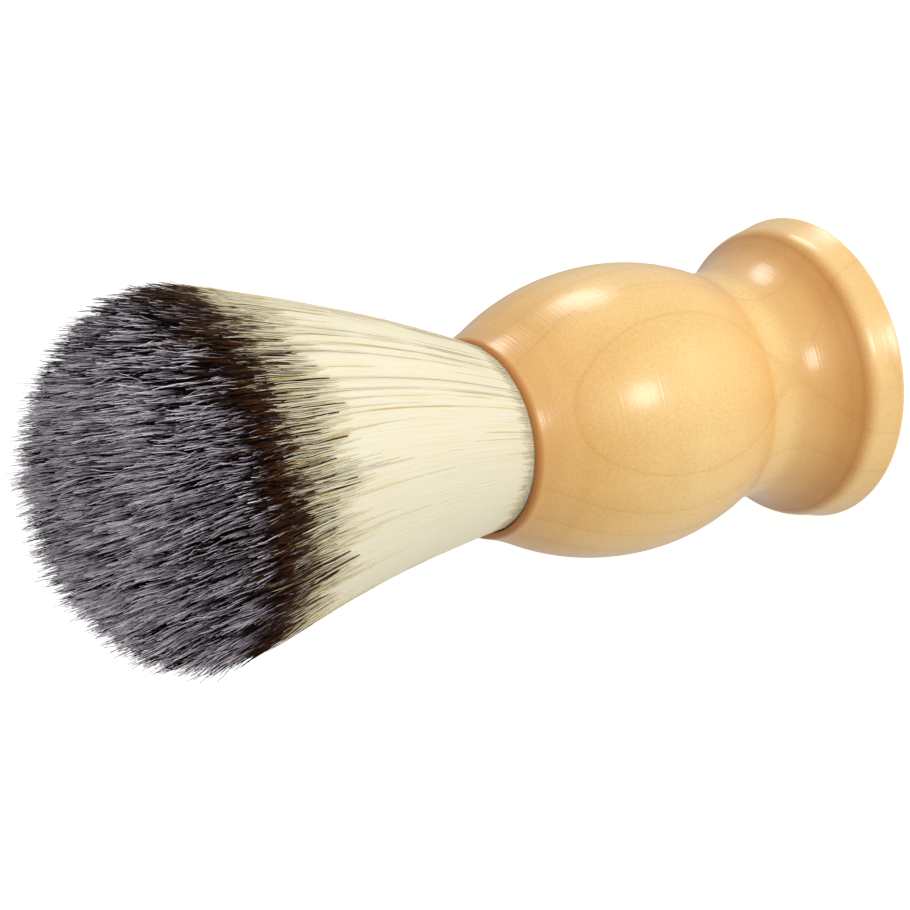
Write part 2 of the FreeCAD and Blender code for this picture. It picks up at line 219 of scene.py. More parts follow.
def lacquered_hardwood():
    """Stained hardwood under dipped lacquer: a warm, finely flecked body with faint growth
    lines, darker where the end grain shows, with painted shade in the hollow, on the lip and below the
    mouth and painted light on the foot's wall, under a clear coat with sharp highlights."""
    material, tree, shader = new_material("stained_hardwood_dipped_lacquer", {
        "Roughness": 0.42, "IOR": 1.5, "Specular IOR Level": 0.25,
        "Coat Weight": 0.75, "Coat Roughness": 0.21, "Coat IOR": 1.5})
    place = add_node(tree, "ShaderNodeTexCoord").outputs["Object"]

    fleck_width = 0.2 * MM
    cloud_width = 9 * MM
    waver_length = 16 * MM
    waver_depth = 3 * MM
    pith = (1 * MM, -70 * MM, 0)
    growth_spacing = 4.2 * MM
    growth_start = 0.06
    turning_spacing = 0.35 * MM
    turning_depth = 0.02 * MM
    hollow_height = 8.5 * MM

    # flecks twice as long as they are wide, along the grain
    fleck_place = add_node(tree, "ShaderNodeMapping", inputs={
        "Vector": place, "Scale": (1, 1, 0.5)}).outputs[0]
    flecks = add_node(tree, "ShaderNodeTexNoise", inputs={
        "Vector": fleck_place, "Scale": 1 / fleck_width, "Detail": 2, "Roughness": 0.6}).outputs["Fac"]
    # clouds of stain
    clouds = add_node(tree, "ShaderNodeTexNoise", inputs={
        "Vector": fleck_place, "Scale": 1 / cloud_width, "Detail": 2, "Roughness": 0.5}).outputs["Fac"]

    # growth rings about the tree's pith, which stood upright beside the handle, a little wavy
    waver = add_node(tree, "ShaderNodeTexNoise", inputs={
        "Vector": fleck_place, "Scale": 1 / waver_length, "Detail": 1, "Roughness": 0.4}).outputs["Fac"]
    level_place = add_node(tree, "ShaderNodeVectorMath", "MULTIPLY", {
        0: place, 1: (1, 1, 0)}).outputs[0]
    from_pith = add_node(tree, "ShaderNodeVectorMath", "DISTANCE", {
        0: level_place, 1: pith}).outputs["Value"]
    layer = add_node(tree, "ShaderNodeMath", "MULTIPLY_ADD", {
        0: waver, 1: waver_depth, 2: from_pith}).outputs[0]
    layer = add_node(tree, "ShaderNodeMath", "MULTIPLY_ADD", {
        0: layer, 1: 1 / growth_spacing, 2: growth_start}).outputs[0]
    layer = add_node(tree, "ShaderNodeMath", "FRACT", {0: layer}).outputs[0]
    growth = add_node(tree, "ShaderNodeValToRGB", inputs={"Fac": layer})
    set_ramp(growth.color_ramp, [(0.0, "#FCFAF6"), (0.5, "#FFFFFF"), (0.88, "#FAF5EC"),
                                 (0.94, "#EBDCC6"), (0.965, "#F8F3EA"), (1.0, "#FCFAF6")])

    # the body colour: paler where the grain runs along the surface, darker where the surface faces up or
    # down the axis: partly the end grain, which takes more stain, and partly painted shade, most in the
    # hollow above the foot
    facing = add_node(tree, "ShaderNodeTexCoord").outputs["Normal"]
    end_grain_and_shade = add_node(tree, "ShaderNodeSeparateXYZ", inputs={0: facing}).outputs["Z"]
    end_grain_and_shade = add_node(tree, "ShaderNodeMath", "ABSOLUTE", {0: end_grain_and_shade}).outputs[0]
    body = add_node(tree, "ShaderNodeValToRGB", inputs={"Fac": end_grain_and_shade})
    set_ramp(body.color_ramp, [(0.0, "#F4D08C"), (0.2, "#F4CC86"), (0.4, "#EEC078"),
                               (0.65, "#CB8E4A"), (1.0, "#AE7036")])

    cloudy = add_node(tree, "ShaderNodeValToRGB", inputs={"Fac": clouds})
    set_ramp(cloudy.color_ramp, [(0.3, "#F6F0E4"), (0.7, "#FFFFFF")])
    flecked = add_node(tree, "ShaderNodeValToRGB", inputs={"Fac": flecks})
    set_ramp(flecked.color_ramp, [(0.3, "#F0E8D8"), (0.6, "#FFFFFF")])
    colour = body.outputs[0]
    for layer_of_tone, strength in ((growth, 0.45), (cloudy, 1.0), (flecked, 0.7)):
        colour = add_node(tree, "ShaderNodeMix", {"data_type": "RGBA", "blend_type": "MULTIPLY"},
                          {0: strength, 6: colour, 7: layer_of_tone.outputs[0]}).outputs[2]

    # darker patches on the lip, below the mouth and in the hollow, and a paler one on the foot's wall: the
    # lip's brown is partly stain and partly painted shade under the bristles, the bands below the mouth and
    # in the hollow are painted shade, and the foot's wall is paler partly from thinner stain and partly as
    # painted light from the floor; each patch is whole within near of its middle and gone beyond far, in mm
    height = add_node(tree, "ShaderNodeSeparateXYZ", inputs={0: place}).outputs["Z"]
    for middle, near, far, most, stain_and_painted_light in ((mouth_height, 0.4, 0.8, 0.7, "#BE7A38"),
                                           (mouth_height, 1.0, 6.0, 0.45, "#C48440"),
                                           (hollow_height, 2.0, 6.0, 0.45, "#CC9048"),
                                           (0.0, 3.3, 4.4, 0.2, "#F8DCA4")):
        away = add_node(tree, "ShaderNodeMath", "SUBTRACT", {0: height, 1: middle}).outputs[0]
        away = add_node(tree, "ShaderNodeMath", "ABSOLUTE", {0: away}).outputs[0]
        amount = add_node(tree, "ShaderNodeMapRange", {"interpolation_type": "SMOOTHSTEP"}, {
            "Value": away, "From Min": far * MM, "From Max": near * MM, "To Max": most}).outputs[0]
        colour = add_node(tree, "ShaderNodeMix", {"data_type": "RGBA"}, {
            0: amount, 6: colour, 7: linear_colour(stain_and_painted_light)}).outputs[2]
    tree.links.new(colour, shader.inputs["Base Color"])

    # sanding on the lathe leaves fine rings under the lacquer
    rings = add_node(tree, "ShaderNodeTexNoise", {"noise_dimensions": "1D"}, {
        "W": height, "Scale": 1 / turning_spacing, "Detail": 1}).outputs["Fac"]
    rings = add_node(tree, "ShaderNodeBump", inputs={
        "Height": rings, "Strength": 0.7, "Distance": turning_depth})
    tree.links.new(rings.outputs[0], shader.inputs["Coat Normal"])
    tree.links.new(rings.outputs[0], shader.inputs["Normal"])
    return material


handle = turned_mesh("turned_handle", handle_outline(), turning_segments)
handle.data.materials.append(lacquered_hardwood())
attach(handle, "root")
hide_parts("handle")


# ------------------------------------------------------------------ glue, plug and thread
# Out of sight in the socket: a cup of cured epoxy, the plug of cast resin that holds the
# bristles' roots, and a few turns of waxed thread round the bristles.

def show_pattern(tree, shader, pattern, stops, strength, depth):
    """Colour a surface by a pattern, and raise it by the same pattern."""
    tone = add_node(tree, "ShaderNodeValToRGB", inputs={"Fac": pattern})
    set_ramp(tone.color_ramp, stops)
    tree.links.new(tone.outputs[0], shader.inputs["Base Color"])
    relief = add_node(tree, "ShaderNodeBump", inputs={
        "Height": pattern, "Strength": strength, "Distance": depth})
    tree.links.new(relief.outputs[0], shader.inputs["Normal"])


def cast_resin():
    """Cast resin: a dull amber body with fine cloudy streaks where the roots soaked it up."""
    material, tree, shader = new_material("cast_polyester_resin_poured", {
        "Roughness": 0.45, "IOR": 1.55, "Subsurface Weight": 0.1, "Subsurface Scale": 1 * MM})
    place = add_node(tree, "ShaderNodeTexCoord").outputs["Object"]
    streak_width = 2.5 * MM
    streaks = add_node(tree, "ShaderNodeTexNoise", inputs={
        "Vector": place, "Scale": 1 / streak_width, "Detail": 4}).outputs["Fac"]
    show_pattern(tree, shader, streaks, [(0.3, "#B89A63"), (0.7, "#D9C498")], 0.3, 0.1 * MM)
    return material


def cured_epoxy():
    """Cured epoxy: clear straw-coloured and glossy, with small trapped bubbles."""
    material, tree, shader = new_material("epoxy_cured_in_place", {
        "Roughness": 0.12, "IOR": 1.53, "Transmission Weight": 0.4})
    place = add_node(tree, "ShaderNodeTexCoord").outputs["Object"]
    bubble_spacing = 0.8 * MM
    bubbles = add_node(tree, "ShaderNodeTexVoronoi", inputs={
        "Vector": place, "Scale": 1 / bubble_spacing}).outputs["Distance"]
    show_pattern(tree, shader, bubbles, [(0.1, "#F4EBD2"), (0.35, "#DCC78E")], 0.4, 0.1 * MM)
    return material


def waxed_thread():
    """Waxed linen thread wound side by side: rounded turns with a dull wax sheen, and painted shade in the
    gaps between them.
    """
    material, tree, shader = new_material("linen_thread_waxed_and_wound", {
        "Roughness": 0.6, "Sheen Weight": 0.3})
    place = add_node(tree, "ShaderNodeTexCoord").outputs["Object"]
    height = add_node(tree, "ShaderNodeSeparateXYZ", inputs={0: place}).outputs["Z"]
    thread_spacing = 0.4 * MM
    turn = add_node(tree, "ShaderNodeMath", "MULTIPLY", {
        0: height, 1: 2 * math.pi / thread_spacing}).outputs[0]
    turn = add_node(tree, "ShaderNodeMath", "COSINE", {0: turn}).outputs[0]
    turn = add_node(tree, "ShaderNodeMapRange", inputs={"Value": turn, "From Min": -1.0}).outputs[0]
    # the gaps between the turns are coloured darker: painted shade between the turns
    show_pattern(tree, shader, turn, [(0.0, "#8C7A58"), (0.5, "#CDBD96")], 0.8, 0.15 * MM)
    return material


resin = cast_resin()
for node_name, material in (("root_plug", resin), ("adhesive_bed", cured_epoxy()),
                            ("binding_thread", waxed_thread())):
    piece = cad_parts[node_name]
    piece.data.materials.clear()
    piece.data.materials.append(material)


# ------------------------------------------------------------------ bristle knot
# About twenty-one thousand fine crimped filaments, rooted in the top slice of the plug. They
# spread like rays, gather in small locks and end on a dome. The filament is drawn from
# undyed cream fibre, and its upper part is dyed dark brown with many tips left silver-grey.

bristles_low, bristles_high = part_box("bristles")
thread_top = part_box("binding_thread")[1].z
slice_floor = bristles_low.z
slice_height = 0.8 * MM
slice_top = slice_floor + slice_height
slice_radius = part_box("root_plug")[1].x
root_height = slice_floor + slice_height / 2
root_radius = 10.15 * MM
spread_height = mouth_height + 0.5 * MM
spread_radius = 10.75 * MM
belly_height = mouth_height + 41.0 * MM
belly_radius = 21.3 * MM
knot_top = bristles_high.z
lean = 2.8 * MM
lean_height = mouth_height + 30.0 * MM

# the filaments' surface is laid out in columns: 16 classes of tip height by 16 tones
tip_classes = 16
tones = 16
tone_spread = 0.2
columns = tip_classes * tones
lowest_tip = 74.0 * MM
chart_height = 64.0 * MM

# shares, jitters and the lock width are parts of the knot's radius at a filament's height
KNOT_SIZES = {
    "Filaments": 10800,
    "Bundle": 0,
    "Bundles": 6,
    "Inner Share": 0.84,
    "Outer Share": 1.0,
    "Shown Length": 100.0 * MM,
    "Segments": 16,
    "Packed Radius": 0.05 * MM,
    "Filament Radius": 0.1 * MM,
    "Tip Radius": 0.03 * MM,
    "Taper Length": 4.0 * MM,
    "Root Height": root_height,
    "Root Radius": root_radius,
    "Tie Height": thread_top,
    "Spread Height": spread_height,
    "Spread Radius": spread_radius,
    "Belly Height": belly_height,
    "Belly Radius": belly_radius,
    "Dome Height": knot_top - belly_height,
    "Lean": lean,
    "Lean Height": lean_height,
    "Tip Scatter": 5.0 * MM,
    "Side Scatter": 8.0 * MM,
    "Dye Tilt": (-1.6 * MM, 3.5 * MM, 0),
    "Root Jitter": 0.010,
    "Tip Jitter": 0.024,
    "Lock Width": 0.034,
    "Lock Gather": 0.45,
    "Loose Height": 74.0 * MM,
    "Free Height": 98.0 * MM,
    "Tuft Wander": 1.6 * MM,
    "Lock Wander": 0.9 * MM,
    "Crimp": 0.7 * MM,
    "Seed": 7,
    "Material": None,
}
SOCKET_KINDS = {int: "NodeSocketInt", float: "NodeSocketFloat", tuple: "NodeSocketVector",
                type(None): "NodeSocketMaterial"}


def knot_tree():
    """Geometry nodes that grow one bundle of filaments from the knot's sizes."""
    tree = bpy.data.node_groups.new("bristle_knot", "GeometryNodeTree")
    tree.interface.new_socket("Geometry", in_out="OUTPUT", socket_type="NodeSocketGeometry")
    for name, value in KNOT_SIZES.items():
        socket = tree.interface.new_socket(name, in_out="INPUT", socket_type=SOCKET_KINDS[type(value)])
        if value is not None:
            socket.default_value = value
    knot = tree.nodes.new("NodeGroupInput").outputs

    # every filament has a number of its own, and neighbours go to different bundles
    index = add_node(tree, "GeometryNodeInputIndex").outputs[0]
    number = add_node(tree, "ShaderNodeMath", "MULTIPLY_ADD", {
        0: index, 1: knot["Bundles"], 2: knot["Bundle"]}).outputs[0]
    in_bundle = add_node(tree, "ShaderNodeMath", "DIVIDE", {
        0: knot["Filaments"], 1: knot["Bundles"]}).outputs[0]

    # roots in a sunflower spiral: share is the distance from the middle, from 0 to 1
    inner, outer = [add_node(tree, "ShaderNodeMath", "POWER", {0: knot[edge], 1: 2.0}).outputs[0]
                    for edge in ("Inner Share", "Outer Share")]
    share = add_node(tree, "ShaderNodeMapRange", inputs={
        "Value": number, "From Min": -0.5, "From Max": knot["Filaments"],
        "To Min": inner, "To Max": outer}).outputs[0]
    share = add_node(tree, "ShaderNodeMath", "SQRT", {0: share}).outputs[0]
    turn = add_node(tree, "ShaderNodeMath", "MULTIPLY", {
        0: number, 1: math.pi * (3 - math.sqrt(5))}).outputs[0]
    across = add_node(tree, "ShaderNodeMath", "COSINE", {0: turn}).outputs[0]
    beside = add_node(tree, "ShaderNodeMath", "SINE", {0: turn}).outputs[0]
    spot = add_node(tree, "ShaderNodeCombineXYZ", inputs={0: across, 1: beside}).outputs[0]
    spot = add_node(tree, "ShaderNodeVectorMath", "SCALE", {0: spot, "Scale": share}).outputs[0]

    # the root and the tip are each a little off that place, so that neighbours cross
    ends = []
    for step, jitter_size in enumerate(("Root Jitter", "Tip Jitter")):
        seed = add_node(tree, "ShaderNodeMath", "ADD", {0: knot["Seed"], 1: step * 5}).outputs[0]
        jitter = add_node(tree, "FunctionNodeRandomValue", {"data_type": "FLOAT_VECTOR"}, {
            0: (-1, -1, 0), 1: (1, 1, 0), "ID": number, "Seed": seed}).outputs[0]
        jitter = add_node(tree, "ShaderNodeVectorMath", "SCALE", {
            0: jitter, "Scale": knot[jitter_size]}).outputs[0]
        ends.append(add_node(tree, "ShaderNodeVectorMath", "ADD", {0: spot, 1: jitter}).outputs[0])

    # locks: the filaments near one point of a scattered pattern gather towards it
    lock_density = add_node(tree, "ShaderNodeMath", "DIVIDE", {
        0: 1.0, 1: knot["Lock Width"]}).outputs[0]
    lock = add_node(tree, "ShaderNodeTexVoronoi", {"voronoi_dimensions": "2D"}, {
        "Vector": ends[1], "Scale": lock_density, "Randomness": 1.0})
    lock_chance = add_node(tree, "ShaderNodeSeparateXYZ", inputs={0: lock.outputs["Color"]}).outputs

    chances = []
    for step in range(1, 5):
        seed = add_node(tree, "ShaderNodeMath", "ADD", {0: knot["Seed"], 1: step * 11}).outputs[0]
        chances.append(add_node(tree, "FunctionNodeRandomValue", {"data_type": "FLOAT"}, {
            "ID": number, "Seed": seed}).outputs[1])
    drop_chance, tone_chance, crimp_chance, side_chance = chances

    # tips end on a dome, some way short of it, and a few by much more at the sides
    square = add_node(tree, "ShaderNodeMath", "POWER", {0: share, 1: 2.0}).outputs[0]
    cap = add_node(tree, "ShaderNodeMath", {"operation": "SUBTRACT", "use_clamp": True}, {
        0: 1.0, 1: square}).outputs[0]
    cap = add_node(tree, "ShaderNodeMath", "POWER", {0: cap, 1: 0.7}).outputs[0]
    dome = add_node(tree, "ShaderNodeMath", "MULTIPLY_ADD", {
        0: cap, 1: knot["Dome Height"], 2: knot["Belly Height"]}).outputs[0]
    drop = add_node(tree, "ShaderNodeMix", {"data_type": "FLOAT"}, {
        0: 0.4, 2: drop_chance, 3: lock_chance[0]}).outputs[0]
    drop = add_node(tree, "ShaderNodeMath", "MULTIPLY", {0: drop, 1: knot["Tip Scatter"]}).outputs[0]
    side_drop = add_node(tree, "ShaderNodeMath", "MULTIPLY", {0: side_chance, 1: square}).outputs[0]
    side_drop = add_node(tree, "ShaderNodeMath", "POWER", {0: side_drop, 1: 3.0}).outputs[0]
    drop = add_node(tree, "ShaderNodeMath", "MULTIPLY_ADD", {
        0: side_drop, 1: knot["Side Scatter"], 2: drop}).outputs[0]
    tip = add_node(tree, "ShaderNodeMath", "SUBTRACT", {0: dome, 1: drop}).outputs[0]
    start = add_node(tree, "ShaderNodeMath", "SUBTRACT", {0: tip, 1: knot["Shown Length"]}).outputs[0]
    start = add_node(tree, "ShaderNodeMath", "MAXIMUM", {0: start, 1: knot["Root Height"]}).outputs[0]

    # the knot was dyed a little askew: the colours lie higher towards -Y and +X
    askew = add_node(tree, "ShaderNodeVectorMath", "DOT_PRODUCT", {
        0: spot, 1: knot["Dye Tilt"]}).outputs["Value"]
    dye_tip = add_node(tree, "ShaderNodeMath", "ADD", {0: tip, 1: askew}).outputs[0]

    # the column of the colour chart: its tip class, then its tone, shared in part by a lock
    tip_class = add_node(tree, "ShaderNodeMapRange", inputs={
        "Value": dye_tip, "From Min": lowest_tip, "From Max": knot_top,
        "To Max": tip_classes - 0.01}).outputs[0]
    tip_class = add_node(tree, "ShaderNodeMath", "FLOOR", {0: tip_class}).outputs[0]
    tone = add_node(tree, "ShaderNodeMath", "MULTIPLY_ADD", {
        0: tone_chance, 1: tone_spread, 2: lock_chance[1]}).outputs[0]
    tone = add_node(tree, "ShaderNodeMath", "FRACT", {0: tone}).outputs[0]
    tone = add_node(tree, "ShaderNodeMath", "MULTIPLY", {0: tone, 1: tones - 0.01}).outputs[0]
    tone = add_node(tree, "ShaderNodeMath", "FLOOR", {0: tone}).outputs[0]
    column = add_node(tree, "ShaderNodeMath", "MULTIPLY_ADD", {
        0: tip_class, 1: tones, 2: tone}).outputs[0]

    # one straight line for each filament, which carries its own values
    roots = add_node(tree, "GeometryNodePoints", inputs={"Count": in_bundle}).outputs[0]
    carried = {"root": ("FLOAT_VECTOR", ends[0]), "end": ("FLOAT_VECTOR", ends[1]),
               "lock": ("FLOAT_VECTOR", lock.outputs["Position"]), "start": ("FLOAT", start),
               "tip": ("FLOAT", tip), "column": ("FLOAT", column), "askew": ("FLOAT", askew),
               "crimp": ("FLOAT", crimp_chance), "sway": ("FLOAT", lock_chance[2])}
    for name, (kind, value) in carried.items():
        roots = add_node(tree, "GeometryNodeStoreNamedAttribute", {"data_type": kind}, {
            "Geometry": roots, "Name": name, "Value": value}).outputs[0]
    line = add_node(tree, "GeometryNodeCurvePrimitiveLine", inputs={"End": (0, 0, 1)}).outputs[0]
    line_points = add_node(tree, "ShaderNodeMath", "ADD", {0: knot["Segments"], 1: 1}).outputs[0]
    line = add_node(tree, "GeometryNodeResampleCurve", inputs={
        "Curve": line, "Count": line_points}).outputs[0]
    lines = add_node(tree, "GeometryNodeInstanceOnPoints", inputs={
        "Points": roots, "Instance": line}).outputs[0]
    lines = add_node(tree, "GeometryNodeRealizeInstances", inputs={"Geometry": lines}).outputs[0]
    own = {}
    for name, (kind, value) in carried.items():
        own[name] = add_node(tree, "GeometryNodeInputNamedAttribute", {"data_type": kind}, {
            "Name": name}).outputs[0]

    # bend each line into place: its points' heights first, closer together near the tip
    along = add_node(tree, "GeometryNodeSplineParameter").outputs["Factor"]
    from_tip = add_node(tree, "ShaderNodeMath", "SUBTRACT", {0: 1.0, 1: along}).outputs[0]
    from_tip = add_node(tree, "ShaderNodeMath", "POWER", {0: from_tip, 1: 1.35}).outputs[0]
    height = add_node(tree, "ShaderNodeMapRange", inputs={
        "Value": from_tip, "To Min": own["tip"], "To Max": own["start"]}).outputs[0]
    to_tip = add_node(tree, "ShaderNodeMath", "SUBTRACT", {0: own["tip"], 1: height}).outputs[0]

    # then the spread at that height, from a place that moves from root to tip and to the lock
    in_socket = add_node(tree, "ShaderNodeMapRange", inputs={
        "Value": height, "From Min": knot["Tie Height"], "From Max": knot["Spread Height"],
        "To Min": knot["Root Radius"], "To Max": knot["Spread Radius"]}).outputs[0]
    rise = add_node(tree, "ShaderNodeMapRange", {"clamp": False}, {
        "Value": height, "From Min": knot["Spread Height"], "From Max": knot["Belly Height"]}).outputs[0]
    rise = add_node(tree, "ShaderNodeMath", "MAXIMUM", {0: rise, 1: 0.0}).outputs[0]
    above = add_node(tree, "ShaderNodeMapRange", {"clamp": False}, {
        "Value": rise, "To Min": knot["Spread Radius"], "To Max": knot["Belly Radius"]}).outputs[0]
    is_above = add_node(tree, "ShaderNodeMath", "GREATER_THAN", {0: rise, 1: 0.0}).outputs[0]
    spread = add_node(tree, "ShaderNodeMix", {"data_type": "FLOAT"}, {
        0: is_above, 2: in_socket, 3: above}).outputs[0]
    lateral = add_node(tree, "ShaderNodeMix", {"data_type": "VECTOR"}, {
        0: rise, 4: own["root"], 5: own["end"]}).outputs[1]
    looseness = add_node(tree, "ShaderNodeMapRange", {"interpolation_type": "SMOOTHSTEP"}, {
        "Value": height, "From Min": knot["Loose Height"], "From Max": knot["Free Height"]}).outputs[0]
    gather = add_node(tree, "ShaderNodeMath", "MULTIPLY", {
        0: looseness, 1: knot["Lock Gather"]}).outputs[0]
    lateral = add_node(tree, "ShaderNodeMix", {"data_type": "VECTOR"}, {
        0: gather, 4: lateral, 5: own["lock"]}).outputs[1]
    lateral = add_node(tree, "ShaderNodeVectorMath", "SCALE", {0: lateral, "Scale": spread}).outputs[0]

    # crimp: a filament wanders sideways by itself, with its lock and with its tuft, more
    # towards the tip; a few strays wander up to about three times as far
    level = add_node(tree, "ShaderNodeCombineXYZ", inputs={2: height}).outputs[0]
    in_tuft = add_node(tree, "ShaderNodeVectorMath", "SCALE", {0: level, "Scale": 0.3}).outputs[0]
    in_tuft = add_node(tree, "ShaderNodeVectorMath", "MULTIPLY_ADD", {
        0: own["root"], 1: (18 * MM, 18 * MM, 0), 2: in_tuft}).outputs[0]
    stray = add_node(tree, "ShaderNodeMath", "POWER", {0: own["crimp"], 1: 10.0}).outputs[0]
    stray = add_node(tree, "ShaderNodeMath", "MULTIPLY_ADD", {0: stray, 1: 2.4, 2: 1.0}).outputs[0]
    looseness = add_node(tree, "ShaderNodeMath", "MULTIPLY_ADD", {
        0: looseness, 1: stray, 2: 0.1}).outputs[0]
    for whose, size, where, wave_length in ((own["crimp"], "Crimp", level, 5 * MM),
                                            (own["sway"], "Lock Wander", level, 8 * MM),
                                            (None, "Tuft Wander", in_tuft, 3 * MM)):
        wander_inputs = {"Vector": where, "Scale": 1 / wave_length, "Detail": 1.0}
        if whose:
            # far apart in the noise, so that no two wander alike
            wander_inputs["W"] = add_node(tree, "ShaderNodeMath", "MULTIPLY", {
                0: whose, 1: 400.0}).outputs[0]
        wander = add_node(tree, "ShaderNodeTexNoise", {"noise_dimensions": "4D"},
                          wander_inputs).outputs["Color"]
        wander = add_node(tree, "ShaderNodeVectorMath", "MULTIPLY_ADD", {
            0: wander, 1: (1, 1, 0), 2: (-0.5, -0.5, 0)}).outputs[0]
        wander_size = add_node(tree, "ShaderNodeMath", "MULTIPLY", {
            0: looseness, 1: knot[size]}).outputs[0]
        wander = add_node(tree, "ShaderNodeVectorMath", "SCALE", {
            0: wander, "Scale": wander_size}).outputs[0]
        lateral = add_node(tree, "ShaderNodeVectorMath", "ADD", {0: lateral, 1: wander}).outputs[0]

    # lean: most of the bend lies low down
    left = add_node(tree, "ShaderNodeMapRange", inputs={
        "Value": height, "From Min": knot["Tie Height"], "From Max": knot["Lean Height"],
        "To Min": 1.0, "To Max": 0.0}).outputs[0]
    left = add_node(tree, "ShaderNodeMath", "POWER", {0: left, 1: 2.0}).outputs[0]
    left = add_node(tree, "ShaderNodeMath", "SUBTRACT", {0: 1.0, 1: left}).outputs[0]
    leaning = add_node(tree, "ShaderNodeMath", "MULTIPLY", {0: left, 1: knot["Lean"]}).outputs[0]
    upright = add_node(tree, "ShaderNodeCombineXYZ", inputs={0: leaning, 2: height}).outputs[0]
    place = add_node(tree, "ShaderNodeVectorMath", "ADD", {0: lateral, 1: upright}).outputs[0]
    lines = add_node(tree, "GeometryNodeStoreNamedAttribute", {"data_type": "FLOAT"}, {
        "Geometry": lines, "Name": "height", "Value": height}).outputs[0]
    lines = add_node(tree, "GeometryNodeSetPosition", inputs={
        "Geometry": lines, "Position": place}).outputs[0]

    # a three-sided section, drawn out fine towards the tip
    body_width = add_node(tree, "ShaderNodeMapRange", inputs={
        "Value": height, "From Min": knot["Spread Height"], "From Max": knot["Belly Height"],
        "To Min": knot["Packed Radius"], "To Max": knot["Filament Radius"]}).outputs[0]
    width = add_node(tree, "ShaderNodeMapRange", inputs={
        "Value": to_tip, "From Max": knot["Taper Length"],
        "To Min": knot["Tip Radius"], "To Max": body_width}).outputs[0]
    section = add_node(tree, "GeometryNodeCurvePrimitiveCircle", inputs={
        "Resolution": 3, "Radius": 1.0}).outputs[0]
    around = add_node(tree, "GeometryNodeSplineParameter").outputs["Factor"]
    section = add_node(tree, "GeometryNodeStoreNamedAttribute", {"data_type": "FLOAT"}, {
        "Geometry": section, "Name": "around", "Value": around}).outputs[0]
    filaments = add_node(tree, "GeometryNodeCurveToMesh", inputs={
        "Curve": lines, "Profile Curve": section, "Scale": width, "Fill Caps": True}).outputs[0]

    # the colour chart's map: across by column, up by height; the flat end caps are drawn out a
    # little, so that every face has room on the chart
    around = add_node(tree, "GeometryNodeInputNamedAttribute", {"data_type": "FLOAT"}, {
        "Name": "around"}).outputs[0]
    own_height = add_node(tree, "GeometryNodeInputNamedAttribute", {"data_type": "FLOAT"}, {
        "Name": "height"}).outputs[0]
    chart_x = add_node(tree, "ShaderNodeMath", "MULTIPLY_ADD", {
        0: around, 1: 0.75, 2: own["column"]}).outputs[0]
    chart_x = add_node(tree, "ShaderNodeMath", "ADD", {0: chart_x, 1: 0.25}).outputs[0]
    chart_x = add_node(tree, "ShaderNodeMath", "DIVIDE", {0: chart_x, 1: float(columns)}).outputs[0]
    own_height = add_node(tree, "ShaderNodeMath", "ADD", {0: own_height, 1: own["askew"]}).outputs[0]
    chart_y = add_node(tree, "ShaderNodeMapRange", inputs={
        "Value": own_height, "From Min": root_height, "From Max": root_height + chart_height,
        "To Min": 0.01, "To Max": 0.99}).outputs[0]
    cap_lift = add_node(tree, "ShaderNodeMath", "POWER", {0: around, 1: 2.0}).outputs[0]
    chart_y = add_node(tree, "ShaderNodeMath", "MULTIPLY_ADD", {
        0: cap_lift, 1: 0.004, 2: chart_y}).outputs[0]
    chart = add_node(tree, "ShaderNodeCombineXYZ", inputs={0: chart_x, 1: chart_y}).outputs[0]
    corner_map = {"data_type": "FLOAT2", "domain": "CORNER"}
    filaments = add_node(tree, "GeometryNodeStoreNamedAttribute", corner_map, {
        "Geometry": filaments, "Name": "OFBake", "Value": chart}).outputs[0]

    filaments = add_node(tree, "GeometryNodeSetShadeSmooth", inputs={"Geometry": filaments}).outputs[0]
    filaments = add_node(tree, "GeometryNodeRealizeInstances", inputs={"Geometry": filaments}).outputs[0]
    filaments = add_node(tree, "GeometryNodeSetMaterial", inputs={
        "Geometry": filaments, "Material": knot["Material"]}).outputs[0]
    add_node(tree, "NodeGroupOutput", inputs={0: filaments})
    return tree


dye_height = 87.0 * MM
dye_length = 12.0 * MM
dye_bleed_below = 0.3 * MM
dye_bleed_above = 0.7 * MM
CREAM = [(0.0, "#E2DCC6"), (0.5, "#E2D8B8"), (0.8, "#E1D2A4"), (1.0, "#D8BC7E")]
DYE = [(0.0, "#8A5C38"), (0.08, "#5C3822"), (0.3, "#40261A"), (0.6, "#20130F"), (1.0, "#0F0A0C")]


